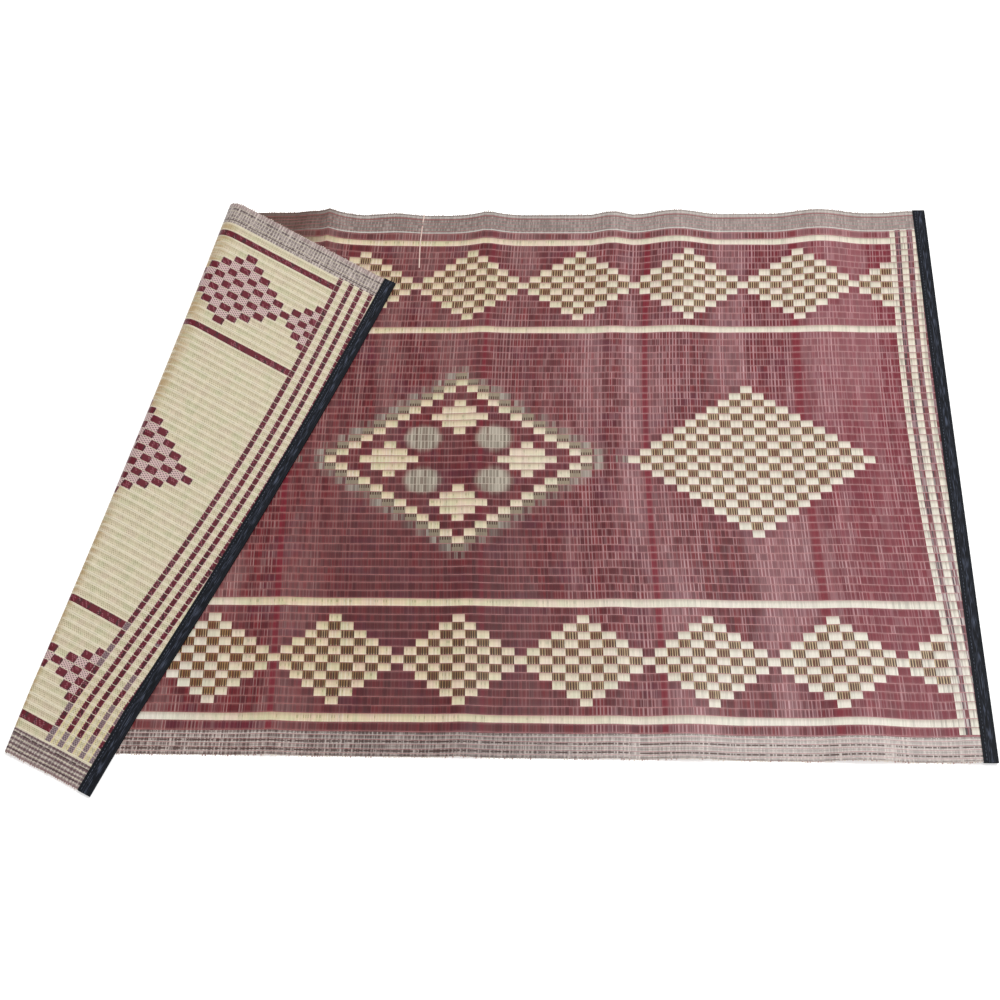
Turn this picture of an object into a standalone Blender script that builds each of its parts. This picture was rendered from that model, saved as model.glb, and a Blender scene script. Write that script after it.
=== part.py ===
"""A woven plastic floor mat that lies open on the floor, with its left end folded over on a slant.

Metres, +Z up. The mat's length runs along X and its width along Y, and the folded end is at -X.
The origin is at the middle of the underside's bounding box, on the floor.
"""

import math

import bpy
import bmesh
from mathutils import Vector

# The mat as it is cut: a 4 ft by 6 ft floor mat, bound with tape at its two short ends
LENGTH = 1.8288
WIDTH = 1.2192
THICKNESS = 0.0020

# Binding tape, folded over each short end
TAPE_WIDTH = 0.0250
TAPE_THICKNESS = 0.0008
TAPE_GAP = 0.00035
TAPE_OVERHANG = 0.0015
# The sheet ends where the tape starts to turn round it
SHEET_END = LENGTH / 2 - TAPE_THICKNESS - TAPE_GAP - THICKNESS / 2

# The slanted fold: the line where the sheet leaves the floor, drawn in a little at its middle
FOLD_LEAN = math.radians(13.1)
FOLD_OFFSET = 0.5745
FOLD_DRAW_IN = 0.0070
# Half the length over which the draw fades out
FOLD_HALF = 0.64

# The loose loop at the fold, at the middle of the fold line and how it grows towards the back:
# the length that turns over, and the angle at which the flap comes down from it
LOOP_TURN = 0.089
LOOP_TURN_SLOPE = 0.098
LOOP_DIVE = 0.140
LOOP_DIVE_SLOPE = 0.049
# The flap's straws have slid sideways a little, past this distance from the lift-off line
FLAP_SHEAR = -0.024
SHEAR_FROM = 0.100
# Length over which the flap levels out again where it settles on the mat
SETTLE = 0.100
# Height of the sheet's middle above the floor, where it lies on the floor and where the flap settles
FLOOR_HEIGHT = THICKNESS / 2
FLAP_HEIGHT = 0.0050
INTEGRATION_STEP = 0.0010

# Packing creases and waves that run across the mat. Sharp ones come to a ridge, soft ones are round.
# (place along the length, half width, sharp, ((place across the width, height), ...))
WAVES = (
    (-0.292, 0.080, True, ((-0.61, 0.004), (-0.10, 0.002), (0.00, 0.0), (0.30, 0.002),
                           (0.42, 0.006), (0.53, 0.019), (0.61, 0.0245))),
    (-0.230, 0.060, False, ((-0.61, 0.0), (0.35, 0.0), (0.53, 0.004), (0.61, 0.0025))),
    (-0.160, 0.070, False, ((-0.61, 0.0), (0.50, 0.0), (0.61, 0.008))),
    (0.033, 0.075, True, ((-0.61, 0.005), (-0.30, 0.003), (0.10, 0.003), (0.40, 0.006), (0.61, 0.014))),
    (0.285, 0.050, False, ((-0.61, 0.003), (0.00, 0.002), (0.35, 0.003), (0.61, 0.010))),
    (0.415, 0.090, False, ((-0.61, 0.006), (-0.20, 0.002), (0.25, 0.003), (0.61, 0.014))),
    (0.700, 0.095, False, ((-0.61, 0.008), (-0.20, 0.003), (0.25, 0.003), (0.61, 0.013))),
)
# Valley creases, where a line of the mesh follows the fold
VALLEYS = (0.338, 0.618)
# At its back edge the sheet is off the floor already before the lift-off line: how high, where that
# starts and is whole across the width and along the length, and how far past the line it fades out
NECK_LIFT = 0.0120
NECK_ACROSS = (0.36, 0.56)
NECK_ALONG = (-0.292, -0.345)
NECK_FADE = 0.070
# The right end rises to the tape's underside, and its corners curl up a little more
END_RISE_FROM = 0.8250
CORNER_CURL = 0.0040
CURL_FROM = 0.30

# Mesh
ROWS = 22
COLUMN_STEP = 0.0480
NECK_COLUMNS = 9
FLAP_COLUMNS = 25
FLAP_CROWDING = 1.35
CLOSEST_LINES = 0.012
CREASE_LINES = (-0.020, 0.0, 0.020)
NOSE_STEPS = 4

MAROON = (0.235, 0.040, 0.055, 1.0)
TAPE_BLACK = (0.012, 0.014, 0.020, 1.0)


def smooth(x):
    x = min(max(x, 0.0), 1.0)
    return x * x * (3 - 2 * x)


def along_table(table, x):
    """Eased value at x from rows of (place, value)."""
    if x <= table[0][0]:
        return table[0][1]
    for (x0, y0), (x1, y1) in zip(table, table[1:]):
        if x <= x1:
            return y0 + (y1 - y0) * smooth((x - x0) / (x1 - x0))
    return table[-1][1]


def past_fold(u, v):
    """(distance past the lift-off line, distance along it) of a point of the flat mat."""
    t = math.sin(FOLD_LEAN) * u + math.cos(FOLD_LEAN) * v
    drawn = FOLD_DRAW_IN * max(0.0, 1 - (t / FOLD_HALF) ** 2)
    return -math.cos(FOLD_LEAN) * u + math.sin(FOLD_LEAN) * v - FOLD_OFFSET + drawn, t


def floor_height(u, v, s):
    """Height of the sheet's middle where it lies on the floor."""
    height = 0.0
    for place, half, sharp, heights in WAVES:
        near = 1 - abs(u - place) / half
        if near > 0:
            shape = near * near if sharp else math.sin(near * math.pi / 2) ** 2
            height += shape * along_table(heights, v)
    height *= smooth(-s / 0.05)
    end = smooth((u - END_RISE_FROM) / (LENGTH / 2 - TAPE_WIDTH - END_RISE_FROM))
    corner = smooth((abs(v) - CURL_FROM) / (WIDTH / 2 - CURL_FROM))
    tape_lift = TAPE_GAP + TAPE_THICKNESS
    return FLOOR_HEIGHT + height + end * (tape_lift + CORNER_CURL * corner)


def share_between(x, ends):
    """Eased from 0 at the first of two ends to 1 at the second."""
    return smooth((x - ends[0]) / (ends[1] - ends[0]))


def neck_height(u, v, s):
    """How much the sheet is raised just before and after the lift-off line, near its back edge."""
    return NECK_LIFT * share_between(v, NECK_ACROSS) * share_between(u, NECK_ALONG) * smooth(1 - s / NECK_FADE)


def loop_angle(s, turn, dive, straight):
    """Slope of the sheet s past the lift-off line: up and over, down at an angle, then level."""
    up = (math.pi + dive) * (0.5 - 0.5 * math.cos(math.pi * min(s / turn, 1.0)))
    past = min(max((s - turn - straight) / SETTLE, 0.0), 1.0)
    return up - dive * (0.5 - 0.5 * math.cos(math.pi * past))


def loop_point(s, t):
    """(reach, height) of the sheet s past the lift-off line, measured from that line."""
    turn = LOOP_TURN + LOOP_TURN_SLOPE * t
    dive = LOOP_DIVE + LOOP_DIVE_SLOPE * t
    step = turn / 60
    top = sum(math.sin(loop_angle((i + 0.5) * step, turn, dive, 9.0)) for i in range(60)) * step
    straight = (top - SETTLE * dive / 2 - (FLAP_HEIGHT - FLOOR_HEIGHT)) / math.sin(dive)
    steps = max(1, round(s / INTEGRATION_STEP))
    step = s / steps
    angles = [loop_angle((i + 0.5) * step, turn, dive, straight) for i in range(steps)]
    return sum(map(math.cos, angles)) * step, sum(map(math.sin, angles)) * step


def middle(u, v):
    """Where a point of the flat mat's middle plane lies."""
    s, t = past_fold(u, v)
    neck = neck_height(u, v, s)
    if s <= 0:
        return Vector((u, v, floor_height(u, v, s) + neck))
    reach, height = loop_point(s, t)
    outward = Vector((-math.cos(FOLD_LEAN), math.sin(FOLD_LEAN), 0))
    fold_line = Vector((math.sin(FOLD_LEAN), math.cos(FOLD_LEAN), 0))
    slid = FLAP_SHEAR * max(0.0, s - SHEAR_FROM)
    return Vector((u, v, FLOOR_HEIGHT + height + neck)) + outward * (reach - s) + fold_line * slid


def lie(u, v, above):
    """Where a point lies that is above the flat mat's middle plane."""
    d = 0.0005
    along = middle(u + d, v) - middle(u - d, v)
    across = middle(u, v + d) - middle(u, v - d)
    return middle(u, v) + along.cross(across).normalized() * above


def lift_off(v):
    """Place along the length of the lift-off line at v across the width."""
    u = (math.sin(FOLD_LEAN) * v - FOLD_OFFSET) / math.cos(FOLD_LEAN)
    for _ in range(3):
        u += past_fold(u, v)[0] / math.cos(FOLD_LEAN)
    return u


def flat_columns():
    """Places of the mesh's lines from the right end to the first crease before the fold."""
    lines = {SHEET_END, LENGTH / 2 - TAPE_WIDTH, END_RISE_FROM}
    for place, half, sharp, _ in WAVES:
        lines |= {place + d for d in CREASE_LINES} if sharp else {place}
        lines |= {place - half, place + half}
    for place in VALLEYS:
        lines |= {place + d for d in CREASE_LINES}
    first = WAVES[0][0]
    lines = sorted((x for x in lines if x >= first), reverse=True)
    kept = [lines[0]]
    for x in lines[1:]:
        if kept[-1] - x < CLOSEST_LINES and x != first:
            continue
        parts = math.ceil((kept[-1] - x) / COLUMN_STEP)
        start = kept[-1]
        kept += [start + (x - start) * (i + 1) / parts for i in range(parts)]
    return kept


def column_lines():
    """Functions that give the place along the length of each mesh line at v, right end first."""
    lines = [lambda v, x=x: x for x in flat_columns()]
    crease = WAVES[0][0]
    for i in range(1, NECK_COLUMNS + 1):
        lines.append(lambda v, f=i / NECK_COLUMNS: crease + (lift_off(v) - crease) * f)
    tape_edge = -LENGTH / 2 + TAPE_WIDTH
    for i in range(1, FLAP_COLUMNS + 1):
        f = (i / FLAP_COLUMNS) ** FLAP_CROWDING
        lines.append(lambda v, f=f: lift_off(v) + (tape_edge - lift_off(v)) * f)
    lines.append(lambda v: -SHEET_END)
    return lines


def new_object(name, bm, collection, material):
    mesh = bpy.data.meshes.new(name)
    bm.to_mesh(mesh)
    bm.free()
    mesh.materials.append(material)
    mesh.shade_smooth()
    piece = bpy.data.objects.new(name, mesh)
    collection.objects.link(piece)
    return piece


def thicken(piece, thickness):
    shell = piece.modifiers.new("Thickness", "SOLIDIFY")
    shell.thickness = thickness
    shell.offset = 0
    shell.use_even_offset = True
    shell.use_quality_normals = True


def grid(columns, rows):
    """A grid mesh and its vertices by (column, row)."""
    bm = bmesh.new()
    bmesh.ops.create_grid(bm, x_segments=columns, y_segments=rows, size=1)
    at = {}
    for vert in bm.verts:
        i = round((vert.co.x + 1) / 2 * columns)
        j = round((vert.co.y + 1) / 2 * rows)
        at[i, j] = vert
    return bm, at


def across(j, rows=ROWS, overhang=0.0):
    return (j / rows - 0.5) * (WIDTH + 2 * overhang)


def make_sheet(collection, material):
    """The woven sheet: one piece, flat on the floor, over the fold and back onto itself."""
    lines = column_lines()[::-1]
    bm, at = grid(len(lines) - 1, ROWS)
    for (i, j), vert in at.items():
        v = across(j)
        vert.co = middle(lines[i](v), v)
    piece = new_object("mat_sheet", bm, collection, material)
    thicken(piece, THICKNESS)
    return piece


def make_tape(name, side, collection, material):
    """A tape folded over one short end; side is 1 at the right end and -1 at the folded one."""
    seat = THICKNESS / 2 + TAPE_GAP + TAPE_THICKNESS / 2
    nose = LENGTH / 2 - TAPE_THICKNESS / 2 - seat
    section = [(LENGTH / 2 - TAPE_WIDTH, seat)]
    for k in range(NOSE_STEPS + 1):
        a = math.pi / 2 - math.pi * k / NOSE_STEPS
        section.append((nose + seat * math.cos(a), seat * math.sin(a)))
    section.append((LENGTH / 2 - TAPE_WIDTH, -seat))
    bm, at = grid(len(section) - 1, ROWS)
    for (i, j), vert in at.items():
        u, above = section[i]
        vert.co = lie(side * u, across(j, overhang=TAPE_OVERHANG), above)
    if side < 0:
        bmesh.ops.reverse_faces(bm, faces=bm.faces)
    piece = new_object(name, bm, collection, material)
    thicken(piece, TAPE_THICKNESS)
    return piece


def make_material(name, color, roughness):
    material = bpy.data.materials.new(name)
    material.use_nodes = True
    shader = material.node_tree.nodes["Principled BSDF"]
    shader.inputs["Base Color"].default_value = color
    shader.inputs["Roughness"].default_value = roughness
    shader.inputs["Metallic"].default_value = 0.0
    return material


def to_origin(pieces):
    """Moves the points so that the origin is under the middle of the whole mat's box."""
    depsgraph = bpy.context.evaluated_depsgraph_get()
    points = []
    for piece in pieces:
        mesh = piece.evaluated_get(depsgraph).to_mesh()
        points += [vert.co.copy() for vert in mesh.vertices]
    low = Vector([min(p[k] for p in points) for k in range(3)])
    high = Vector([max(p[k] for p in points) for k in range(3)])
    shift = Vector((-(low.x + high.x) / 2, -(low.y + high.y) / 2, -low.z))
    for piece in pieces:
        for vert in piece.data.vertices:
            vert.co += shift
        piece.data.update()


def main():
    for old in list(bpy.data.objects):
        bpy.data.objects.remove(old)
    collection = bpy.data.collections.new("Woven plastic mat")
    bpy.context.scene.collection.children.link(collection)
    straw = make_material("Woven straw", MAROON, 0.55)
    tape = make_material("Binding tape", TAPE_BLACK, 0.60)
    pieces = [
        make_sheet(collection, straw),
        make_tape("binding_right", 1, collection, tape),
        make_tape("binding_folded", -1, collection, tape),
    ]
    to_origin(pieces)


main()
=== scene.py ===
"""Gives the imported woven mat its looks, in the frame of its CAD model.

The flat mat's own coordinates are u along its length and v across its width, in metres from its
middle. The straws run across the width and the warp threads along the length. The pattern is
counted as on a weaver's chart: columns of straws along u, and rows between warp threads along v.
"""
import math

import bpy
import bmesh
import numpy as np
from mathutils import Matrix, Vector


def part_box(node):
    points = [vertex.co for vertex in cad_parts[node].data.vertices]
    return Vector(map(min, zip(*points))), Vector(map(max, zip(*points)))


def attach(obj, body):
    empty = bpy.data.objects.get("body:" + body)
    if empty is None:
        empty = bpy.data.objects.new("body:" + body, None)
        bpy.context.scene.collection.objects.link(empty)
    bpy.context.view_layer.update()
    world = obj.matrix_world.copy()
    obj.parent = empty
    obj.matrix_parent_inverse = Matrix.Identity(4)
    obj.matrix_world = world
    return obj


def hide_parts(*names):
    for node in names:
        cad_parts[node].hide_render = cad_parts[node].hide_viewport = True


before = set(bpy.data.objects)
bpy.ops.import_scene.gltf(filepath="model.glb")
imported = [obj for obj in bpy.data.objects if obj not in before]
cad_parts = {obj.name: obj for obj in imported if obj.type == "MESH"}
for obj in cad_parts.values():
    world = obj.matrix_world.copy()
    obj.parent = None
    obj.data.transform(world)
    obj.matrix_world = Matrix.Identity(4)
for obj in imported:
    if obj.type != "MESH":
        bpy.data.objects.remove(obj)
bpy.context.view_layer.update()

# The flat mat, the same numbers as in the part's source
LENGTH = 1.8288
WIDTH = 1.2192
THICKNESS = 0.0020
TAPE_WIDTH = 0.0250
TAPE_THICKNESS = 0.0008
TAPE_GAP = 0.00035
TAPE_OVERHANG = 0.0015
SHEET_END = LENGTH / 2 - TAPE_THICKNESS - TAPE_GAP - THICKNESS / 2

# The slanted fold and the loose loop at it
FOLD_LEAN = math.radians(13.1)
FOLD_OFFSET = 0.5745
FOLD_DRAW_IN = 0.0070
FOLD_HALF = 0.64
LOOP_TURN = 0.089
LOOP_TURN_SLOPE = 0.098
LOOP_DIVE = 0.140
LOOP_DIVE_SLOPE = 0.049
FLAP_SHEAR = -0.024
SHEAR_FROM = 0.100
SETTLE = 0.100
FLOOR_HEIGHT = THICKNESS / 2
FLAP_HEIGHT = 0.0050

# Waves and creases: place along the length, half width, sharp, heights by place across the width
WAVES = (
    (-0.292, 0.080, True, ((-0.61, 0.004), (-0.10, 0.002), (0.00, 0.0), (0.30, 0.002),
                           (0.42, 0.006), (0.53, 0.019), (0.61, 0.0245))),
    (-0.230, 0.060, False, ((-0.61, 0.0), (0.35, 0.0), (0.53, 0.004), (0.61, 0.0025))),
    (-0.160, 0.070, False, ((-0.61, 0.0), (0.50, 0.0), (0.61, 0.008))),
    (0.033, 0.075, True, ((-0.61, 0.005), (-0.30, 0.003), (0.10, 0.003), (0.40, 0.006),
                          (0.61, 0.014))),
    (0.285, 0.050, False, ((-0.61, 0.003), (0.00, 0.002), (0.35, 0.003), (0.61, 0.010))),
    (0.415, 0.090, False, ((-0.61, 0.006), (-0.20, 0.002), (0.25, 0.003), (0.61, 0.014))),
    (0.700, 0.095, False, ((-0.61, 0.008), (-0.20, 0.003), (0.25, 0.003), (0.61, 0.013))),
)
# They die out over this length before the lift-off line
WAVE_FADE = 0.05
# The sheet is off the floor already before the lift-off line, near its back edge
NECK_LIFT = 0.0120
NECK_ACROSS = (0.36, 0.56)
NECK_ALONG = (-0.292, -0.345)
NECK_FADE = 0.070
# The right end rises to the tape's underside, and its corners curl up a little more
END_RISE = (0.8250, LENGTH / 2 - TAPE_WIDTH)
CORNER_CURL = 0.0040
CURL_ACROSS = (0.30, WIDTH / 2)

# The loom's chart: sizes of a column and a row, how far the chart sits off the mat's middle
COLUMN = 0.0215
ROW = 0.016256
ROW_SHIFT = 0.17
LAST_ROW = 37.5
# The straws bow across the width: metres along the length by powers of v / BOW_HALF
BOW = (0.0, -0.01686, 0.03126, 0.00933, -0.01381)
BOW_HALF = 0.6
# Columns drawn aside by the packing folds: column, metres
DRAWN_COLUMNS = ((-41.0, 0.0010), (-38.2, 0.0042), (-35, -0.003), (-30, 0.001), (-25, 0.0),
                 (-20, -0.0016), (-15, 0.0011), (-10, -0.0027), (-5, 0.0008), (0, -0.0009), (5, -0.002),
                 (10, 0.001), (15, 0.0033), (20, 0.0019), (25, 0.0012), (30, 0.0023), (35, 0.0031))
# The chart is laid out on the unit square of the sheet's UV map, this many columns or rows wide
CHART_SPAN = 90.0
UV_NAME = "chart"

# The chart's figures, counted in columns and rows from its middle. A figure's reach is in steps,
# which are columns plus rows from the figure's own middle
RING = 11.0
PETAL_STEP = 6.0
PETAL_REACH = 2.5
DIAMOND_COLUMN = 25.0
DIAMOND_REACH = 10.5
INNER_STRIPE = 19.0
OUTER_STRIPE = (32.5, 33.42)
MOTIF_PITCH = 10.0
MOTIF_ROW = 26.0
MOTIF_REACH = 5.5
BORDER_REACH = 6.5
# Where the end stripes start at the folded end and at the right end, and their widths, in columns
STRIPES_FROM = (38.2, 38.5)
STRIPE_WIDTHS = (0.50, 0.52)
# The last row of the end stripes at the back, how much shorter they are in front, and the selvedges
END_ROWS = 34.7
END_SHORTER = 0.35
SELVEDGE_FROM = 34.6

# Relief of the woven rows and the threads that pinch them
ROW_CROWN = 0.00022
THREAD_WIDTH = 0.0014
THREAD_HEIGHT = 0.00050
THREAD_SEAT = 0.00006


def smooth(x):
    x = np.clip(x, 0.0, 1.0)
    return x * x * (3.0 - 2.0 * x)


def share_between(x, ends):
    """Eased from 0 at the first of two ends to 1 at the second."""
    return smooth((x - ends[0]) / (ends[1] - ends[0]))


def from_table(table, x):
    """The value at x of a short table, eased between its rows."""
    places, values = np.array(table).T
    i = np.clip(np.searchsorted(places, x, side="right") - 1, 0, len(places) - 2)
    return values[i] + (values[i + 1] - values[i]) * share_between(x, (places[i], places[i + 1]))


def past_fold(u, v):
    """(distance past the lift-off line, distance along it) of points of the flat mat."""
    t = math.sin(FOLD_LEAN) * u + math.cos(FOLD_LEAN) * v
    drawn = FOLD_DRAW_IN * np.maximum(0.0, 1 - (t / FOLD_HALF) ** 2)
    return -math.cos(FOLD_LEAN) * u + math.sin(FOLD_LEAN) * v - FOLD_OFFSET + drawn, t


def lift_off(v):
    """Place along the length of the lift-off line at v."""
    u = (math.sin(FOLD_LEAN) * v - FOLD_OFFSET) / math.cos(FOLD_LEAN)
    for _ in range(3):
        u = u + past_fold(u, v)[0] / math.cos(FOLD_LEAN)
    return u


def floor_height(u, v, s):
    """Height of the sheet's middle where it lies on the floor."""
    height = 0.0
    for place, half, sharp, heights in WAVES:
        near = np.maximum(0.0, 1 - abs(u - place) / half)
        shape = near * near if sharp else np.sin(near * math.pi / 2) ** 2
        height = height + shape * from_table(heights, v)
    curl = CORNER_CURL * share_between(abs(v), CURL_ACROSS)
    lifted = share_between(u, END_RISE) * (TAPE_GAP + TAPE_THICKNESS + curl)
    return FLOOR_HEIGHT + height * smooth(-s / WAVE_FADE) + lifted


def neck_height(u, v, s):
    """How much the sheet is raised just before and after the lift-off line, near its back edge."""
    raised = share_between(v, NECK_ACROSS) * share_between(u, NECK_ALONG)
    return NECK_LIFT * raised * smooth(1 - s / NECK_FADE)


def loop_angle(s, turn, dive, straight):
    """Slope of the sheet s past the lift-off line: up and over, down at an angle, then level."""
    up = (math.pi + dive) * (0.5 - 0.5 * np.cos(math.pi * np.minimum(s / turn, 1.0)))
    past = np.clip((s - turn - straight) / SETTLE, 0.0, 1.0)
    return up - dive * (0.5 - 0.5 * np.cos(math.pi * past))


# The loop's outline by place along the fold (first axis) and distance past it (second axis)
LOOP_T = np.linspace(-0.90, 0.70, 81)
LOOP_S = np.linspace(0.0, 0.60, 601)
TURN_STEPS = 60


def loop_outline():
    """Tables of the loop's reach and height over LOOP_T and LOOP_S."""
    turn = (LOOP_TURN + LOOP_TURN_SLOPE * LOOP_T)[:, None]
    dive = (LOOP_DIVE + LOOP_DIVE_SLOPE * LOOP_T)[:, None]
    part = (np.arange(TURN_STEPS) + 0.5)[None, :] / TURN_STEPS
    top = np.sin(loop_angle(part * turn, turn, dive, math.inf)).mean(1, keepdims=True) * turn
    straight = (top - SETTLE * dive / 2 - (FLAP_HEIGHT - FLOOR_HEIGHT)) / np.sin(dive)
    step = LOOP_S[1]
    angle = loop_angle((LOOP_S[1:] - step / 2)[None, :], turn, dive, straight)
    start = np.zeros((len(LOOP_T), 1))
    return [np.hstack([start, np.cumsum(wave(angle), 1) * step]) for wave in (np.cos, np.sin)]


LOOP_REACH, LOOP_HEIGHT = loop_outline()


def look_up(table, s, t):
    """A loop table's value at s and t, even between its points."""
    i = np.clip((t - LOOP_T[0]) / (LOOP_T[1] - LOOP_T[0]), 0, len(LOOP_T) - 1.001)
    j = np.clip(s / LOOP_S[1], 0, len(LOOP_S) - 1.001)
    i0, j0 = i.astype(int), j.astype(int)
    fi, fj = i - i0, j - j0
    near = table[i0, j0] * (1 - fj) + table[i0, j0 + 1] * fj
    far = table[i0 + 1, j0] * (1 - fj) + table[i0 + 1, j0 + 1] * fj
    return near * (1 - fi) + far * fi


def middle(u, v):
    """Where points of the flat mat's middle plane lie, as an array of (x, y, z)."""
    u, v = np.broadcast_arrays(np.asarray(u, float), np.asarray(v, float))
    s, t = past_fold(u, v)
    past = np.maximum(s, 0.0)
    extra = look_up(LOOP_REACH, past, t) - past
    slid = FLAP_SHEAR * np.maximum(0.0, past - SHEAR_FROM)
    x = u - math.cos(FOLD_LEAN) * extra + math.sin(FOLD_LEAN) * slid
    y = v + math.sin(FOLD_LEAN) * extra + math.cos(FOLD_LEAN) * slid
    z = np.where(s > 0, FLOOR_HEIGHT + look_up(LOOP_HEIGHT, past, t), floor_height(u, v, s))
    return np.stack([x, y, z + neck_height(u, v, s)], -1) + ORIGIN


def directions(u, v):
    """(along the length, across the width, out of the face) as unit vectors at points of the mat."""
    d = 0.0005
    along = middle(u + d, v) - middle(u - d, v)
    across = middle(u, v + d) - middle(u, v - d)
    out = np.cross(along, across)
    return tuple(x / np.linalg.norm(x, axis=-1, keepdims=True) for x in (along, across, out))


def lie(u, v, above):
    """Where points lie that are above the flat mat's middle plane."""
    return middle(u, v) + directions(u, v)[2] * np.asarray(above)[..., None]


# The part's origin is under the middle of the folded mat's box, not at the flat mat's middle
right_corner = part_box("binding_right")[1]
ORIGIN = np.array([right_corner.x - LENGTH / 2, right_corner.y - WIDTH / 2 - TAPE_OVERHANG, 0.0])


def chart_column(u, v):
    """The chart's column at points of the flat mat, as a number with parts of a column."""
    straight = u - sum(share * (v / BOW_HALF) ** power for power, share in enumerate(BOW))
    column = straight / COLUMN
    places, drawn = np.array(DRAWN_COLUMNS).T
    for _ in range(3):
        column = (straight - np.interp(column, places, drawn)) / COLUMN
    return column


def wander(u, row):
    """How far the warp threads stray from straight lines, in rows."""
    slow = np.sin(2 * math.pi * (1.7 * u + 0.37 * row))
    quick = np.sin(2 * math.pi * (4.3 * u + 0.81 * row) + 1.3)
    return 0.030 * slow + 0.020 * quick


def chart_row(u, v):
    row = v / ROW + ROW_SHIFT
    return row + wander(u, row)


def row_place(u, row):
    """Place across the width of a line of the chart."""
    return (row - ROW_SHIFT - wander(u, row)) * ROW


def new_piece(name, mesh):
    piece = bpy.data.objects.new(name, mesh)
    bpy.context.scene.collection.objects.link(piece)
    return piece


def new_mesh(name, points, edges=(), faces=()):
    """A mesh from an array of points, with edges or faces as arrays of point numbers."""
    mesh = bpy.data.meshes.new(name)
    mesh.from_pydata(points.reshape(-1, 3).tolist(), np.asarray(edges).tolist(), np.asarray(faces).tolist())
    return mesh


def lines_mesh(name, points):
    """A mesh of lines, one through each row of points."""
    index = np.arange(points.size // 3).reshape(points.shape[:-1])
    return new_mesh(name, points, edges=np.stack([index[..., :-1], index[..., 1:]], -1).reshape(-1, 2))


def add_attributes(mesh, kind="FLOAT", **arrays):
    """Numbers or vectors for each point of a mesh, which materials and trees read by name."""
    key = "value" if kind == "FLOAT" else "vector"
    for name, array in arrays.items():
        values = np.asarray(array, np.float32).ravel()
        mesh.attributes.new(name, kind, "POINT").data.foreach_set(key, values)


def grid_faces(index):
    """Quads over a grid of vertex numbers."""
    return np.stack([index[:-1, :-1], index[1:, :-1], index[1:, 1:], index[:-1, 1:]], -1).reshape(-1, 4)


FLAP_LINES = 26
LOOP_LINES = 38
LOOP_SHARE = 0.30
NECK_LINES = 14
FLAT_STEP = 0.0165
SAMPLES_PER_ROW = 4


def mesh_lines(v):
    """Places along the length of the sheet's mesh lines at v: close in the loop, wider elsewhere."""
    lift = lift_off(v)[:, None]
    crease = WAVES[0][0]
    flap = np.linspace(1.0, LOOP_SHARE, FLAP_LINES, endpoint=False)
    loop = np.linspace(LOOP_SHARE, 0.0, LOOP_LINES, endpoint=False)
    part = np.concatenate([flap, loop])[None, :]
    folded = lift + (-SHEET_END - lift) * part
    neck = lift + (crease - lift) * (np.arange(NECK_LINES) / NECK_LINES)[None, :]
    flat = np.linspace(crease, SHEET_END, round((SHEET_END - crease) / FLAT_STEP))
    return np.hstack([folded, neck, np.repeat(flat[None, :], len(v), 0)])


def make_sheet(materials):
    """The woven sheet: one closed skin, crowned between the warp threads, with the chart as its UV map."""
    v = np.arange(-LAST_ROW, LAST_ROW + 0.01, 1 / SAMPLES_PER_ROW) * ROW
    u, v = np.broadcast_arrays(mesh_lines(v), v[:, None])
    row = chart_row(u, v)
    half = THICKNESS / 2 - ROW_CROWN * (2 * (row - np.round(row))) ** 2
    index = np.arange(u.size).reshape(u.shape).T
    top = grid_faces(index)
    bottom = grid_faces(index + u.size)[:, ::-1]
    rim = np.concatenate([index[:, 0], index[-1, 1:], index[-2::-1, -1], index[0, -2:0:-1]])
    following = np.roll(rim, -1)
    edge = np.stack([rim, rim + u.size, following + u.size, following], -1)
    points = np.stack([lie(u, v, half), lie(u, v, -half)])
    mesh = new_mesh("mat_weave", points, faces=np.concatenate([top, bottom, edge]))
    mesh.shade_smooth()
    slots = np.zeros(len(mesh.polygons), int)
    slots[len(top):len(top) + len(bottom)] = 1
    for material in materials:
        mesh.materials.append(material)
    mesh.polygons.foreach_set("material_index", slots)
    chart = np.stack([chart_column(u, v).ravel(), row.ravel()], -1)
    place = np.tile(chart / CHART_SPAN + 0.5, (2, 1))
    loops = np.zeros(len(mesh.loops), int)
    mesh.loops.foreach_get("vertex_index", loops)
    mesh.uv_layers.new(name=UV_NAME).uv.foreach_set("vector", place[loops].astype(np.float32).ravel())
    s, t = past_fold(u, v)
    turned = np.clip(s / (LOOP_TURN + LOOP_TURN_SLOPE * t), 0.0, 3.0)
    add_attributes(mesh, turned=np.stack([turned, turned]), past_fold=np.stack([s, s]))
    mesh.set_sharp_from_angle(angle=math.radians(60))
    return new_piece("mat_weave", mesh)


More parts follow.
